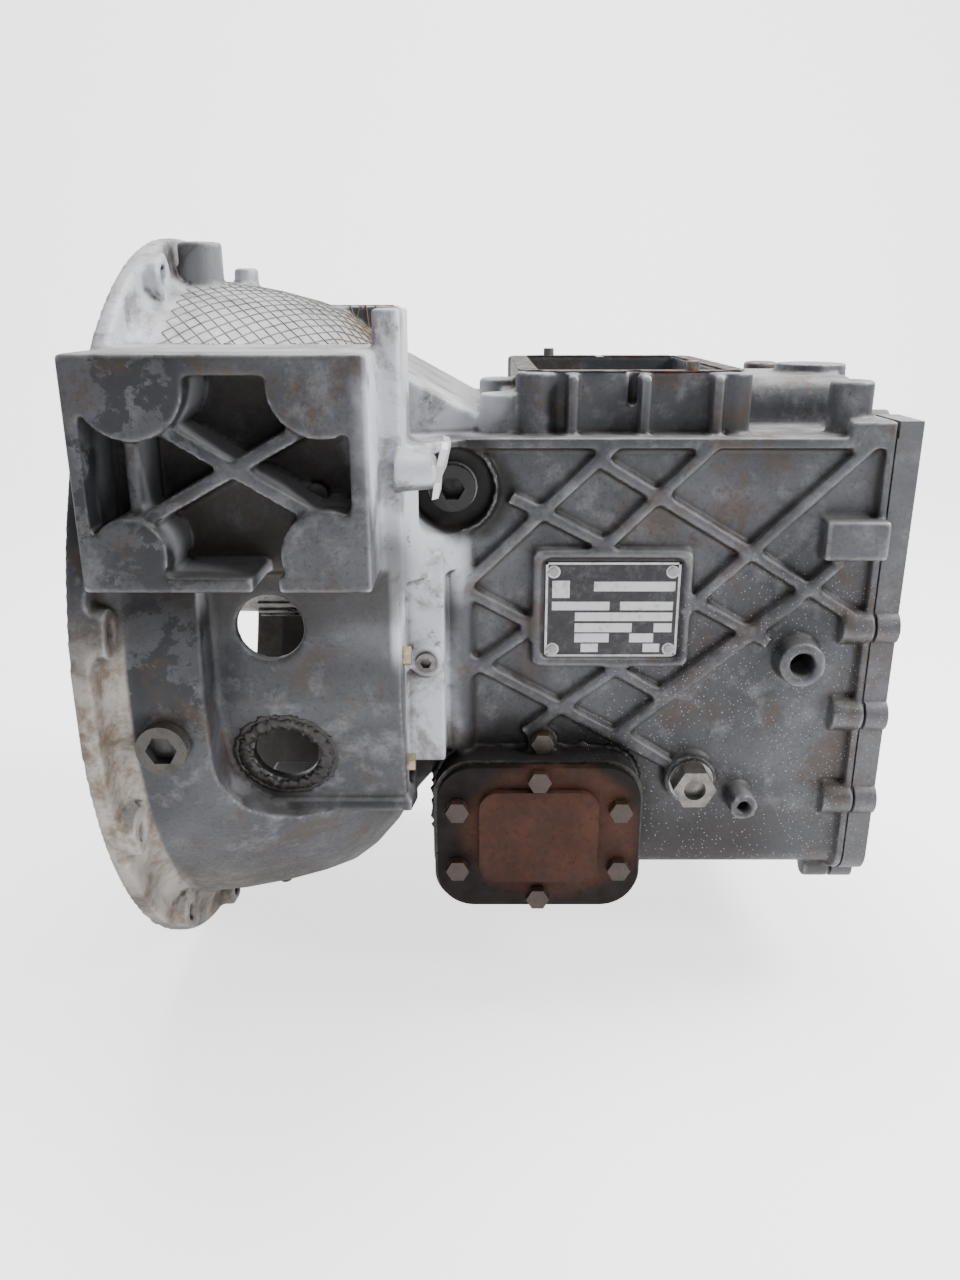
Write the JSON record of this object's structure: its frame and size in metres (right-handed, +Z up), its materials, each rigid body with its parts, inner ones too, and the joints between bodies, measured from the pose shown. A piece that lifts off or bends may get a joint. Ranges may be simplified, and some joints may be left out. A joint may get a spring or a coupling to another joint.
{
  "type": "manual transmission",
  "caption": "Cast-aluminium truck gearbox with integral clutch bell, side power take-off cover, open shift-cover rim and full internal gear train.",
  "frame": {"origin": "centre of the bell flange's mating face, on the input shaft's axis", "axes": "+X to the rear along the shafts, +Z up, power take-off cover and name plate face -Y"},
  "size_m": [0.517, 0.489, 0.489],
  "materials": {
    "cast_aluminium": "dirty sand-cast, worn",
    "rear_casting": "dirty sand-cast, worn",
    "gasket_paper": "oily black",
    "gasket_red": "torn remains",
    "bolt_steel": "dark oily steel",
    "rusted_steel": "rust brown, oily",
    "plate_paint": "black with bare fields",
    "rivet_aluminium": "bright",
    "plug_steel": "worn steel",
    "washer_aluminium": "dull",
    "brass": "dull yellow passivated",
    "iron_casting": "as cast",
    "seal_rubber": "matte",
    "bearing_steel": "ground",
    "gear_steel": "oiled",
    "bronze": "machined"
  },
  "bodies": {
    "root": {"main_housing": "cast_aluminium", "rear_cover": "rear_casting", "rear_cover_gasket": "gasket_paper", "rear_cover_bolts": "bolt_steel", "pto_cover": "rusted_steel", "pto_gasket": "gasket_paper", "pto_cover_bolts": "bolt_steel", "name_plate": "plate_paint", "name_plate_rivets": "rivet_aluminium", "oil_level_plug": "plug_steel", "oil_drain_plug": "plug_steel", "plug_seals": "washer_aluminium", "bell_socket_plug": "plug_steel", "side_screw_plug": "bolt_steel", "fork_housing_bolts": "brass", "socket_screw": "plug_steel", "tray_plug": "plug_steel", "shift_cover_dowels": "plug_steel", "shift_cover_gasket": "gasket_red", "input_retainer": "iron_casting", "retainer_bolts": "bolt_steel", "input_seal": "seal_rubber", "input_bearing_outer": "bearing_steel", "main_bearing_outer": "bearing_steel", "countershaft_bearing_outers": "bearing_steel", "countershaft_end_plug": "plug_steel", "output_seal": "seal_rubber", "idler_shaft": "bearing_steel"},
    "input": {"input_shaft": "gear_steel", "input_bearing_inner": "bearing_steel", "input_bearing_balls": "bearing_steel"},
    "countershaft": {"countershaft": "gear_steel", "counter_drive_gear": "gear_steel", "counter_gear_3": "gear_steel", "counter_gear_2": "gear_steel", "counter_gear_5": "gear_steel", "countershaft_bearing_inners": "bearing_steel", "countershaft_bearing_balls": "bearing_steel"},
    "mainshaft": {"mainshaft": "gear_steel", "main_bearing_inner": "bearing_steel", "main_bearing_balls": "bearing_steel", "pilot_needle_bearing": "bearing_steel", "needle_cages": "bearing_steel", "synchro_hubs": "gear_steel", "blocker_rings": "bronze"},
    "gear_3": {"gear_3": "gear_steel"},
    "gear_2": {"gear_2": "gear_steel"},
    "gear_1": {"gear_1": "gear_steel"},
    "gear_reverse": {"gear_reverse": "gear_steel"},
    "gear_5": {"gear_5": "gear_steel"},
    "reverse_idler": {"reverse_idler": "gear_steel"},
    "sleeve_34": {"sleeve_34": "gear_steel"},
    "sleeve_12": {"sleeve_12": "gear_steel"},
    "sleeve_5r": {"sleeve_5r": "gear_steel"},
    "selector_34": {"selector_rail_34": "bearing_steel", "shift_fork_34": "iron_casting"},
    "selector_12": {"selector_rail_12": "bearing_steel", "shift_fork_12": "iron_casting"},
    "selector_5r": {"selector_rail_5r": "bearing_steel", "shift_fork_5r": "iron_casting"}
  },
  "joints": [
    {"name": "countershaft_spin", "type": "hinge", "parent": "root", "child": "countershaft", "pos_m": [0.3, -0.04086, -0.08019], "axis": [1, 0, 0], "continuous": true},
    {"name": "input_spin", "type": "hinge", "parent": "root", "child": "input", "pos_m": [0.3, 0, 0], "axis": [1, 0, 0], "continuous": true},
    {"name": "output_spin", "type": "hinge", "parent": "root", "child": "mainshaft", "pos_m": [0.3, 0, 0], "axis": [1, 0, 0], "continuous": true},
    {"name": "gear_3_spin", "type": "hinge", "parent": "root", "child": "gear_3", "pos_m": [0.3, 0, 0], "axis": [1, 0, 0], "continuous": true},
    {"name": "gear_2_spin", "type": "hinge", "parent": "root", "child": "gear_2", "pos_m": [0.3, 0, 0], "axis": [1, 0, 0], "continuous": true},
    {"name": "gear_1_spin", "type": "hinge", "parent": "root", "child": "gear_1", "pos_m": [0.3, 0, 0], "axis": [1, 0, 0], "continuous": true},
    {"name": "gear_reverse_spin", "type": "hinge", "parent": "root", "child": "gear_reverse", "pos_m": [0.3, 0, 0], "axis": [1, 0, 0], "continuous": true},
    {"name": "gear_5_spin", "type": "hinge", "parent": "root", "child": "gear_5", "pos_m": [0.3, 0, 0], "axis": [1, 0, 0], "continuous": true},
    {"name": "idler_spin", "type": "hinge", "parent": "root", "child": "reverse_idler", "pos_m": [0.3, 0.01282, -0.08605], "axis": [1, 0, 0], "continuous": true},
    {"name": "rail_34_slide", "type": "slide", "parent": "root", "child": "selector_34", "axis": [1, 0, 0], "range_m": [-0.009, 0.009]},
    {"name": "sleeve_34_slide", "type": "slide", "parent": "mainshaft", "child": "sleeve_34", "axis": [1, 0, 0], "range_m": [-0.009, 0.009]},
    {"name": "rail_12_slide", "type": "slide", "parent": "root", "child": "selector_12", "axis": [1, 0, 0], "range_m": [-0.009, 0.009]},
    {"name": "sleeve_12_slide", "type": "slide", "parent": "mainshaft", "child": "sleeve_12", "axis": [1, 0, 0], "range_m": [-0.009, 0.009]},
    {"name": "rail_5r_slide", "type": "slide", "parent": "root", "child": "selector_5r", "axis": [1, 0, 0], "range_m": [-0.009, 0.009]},
    {"name": "sleeve_5r_slide", "type": "slide", "parent": "mainshaft", "child": "sleeve_5r", "axis": [1, 0, 0], "range_m": [-0.009, 0.009]}
  ],
  "couplings": [
    {"joint": "input_spin", "follows": "countershaft_spin", "ratio": -1.8571},
    {"joint": "gear_3_spin", "follows": "countershaft_spin", "ratio": -1.1429},
    {"joint": "gear_2_spin", "follows": "countershaft_spin", "ratio": -0.66667},
    {"joint": "gear_1_spin", "follows": "countershaft_spin", "ratio": -0.36364},
    {"joint": "gear_5_spin", "follows": "countershaft_spin", "ratio": -2},
    {"joint": "idler_spin", "follows": "countershaft_spin", "ratio": -0.8},
    {"joint": "gear_reverse_spin", "follows": "countershaft_spin", "ratio": 0.42105},
    {"joint": "sleeve_34_slide", "follows": "rail_34_slide", "ratio": 1},
    {"joint": "sleeve_12_slide", "follows": "rail_12_slide", "ratio": 1},
    {"joint": "sleeve_5r_slide", "follows": "rail_5r_slide", "ratio": 1}
  ]
}
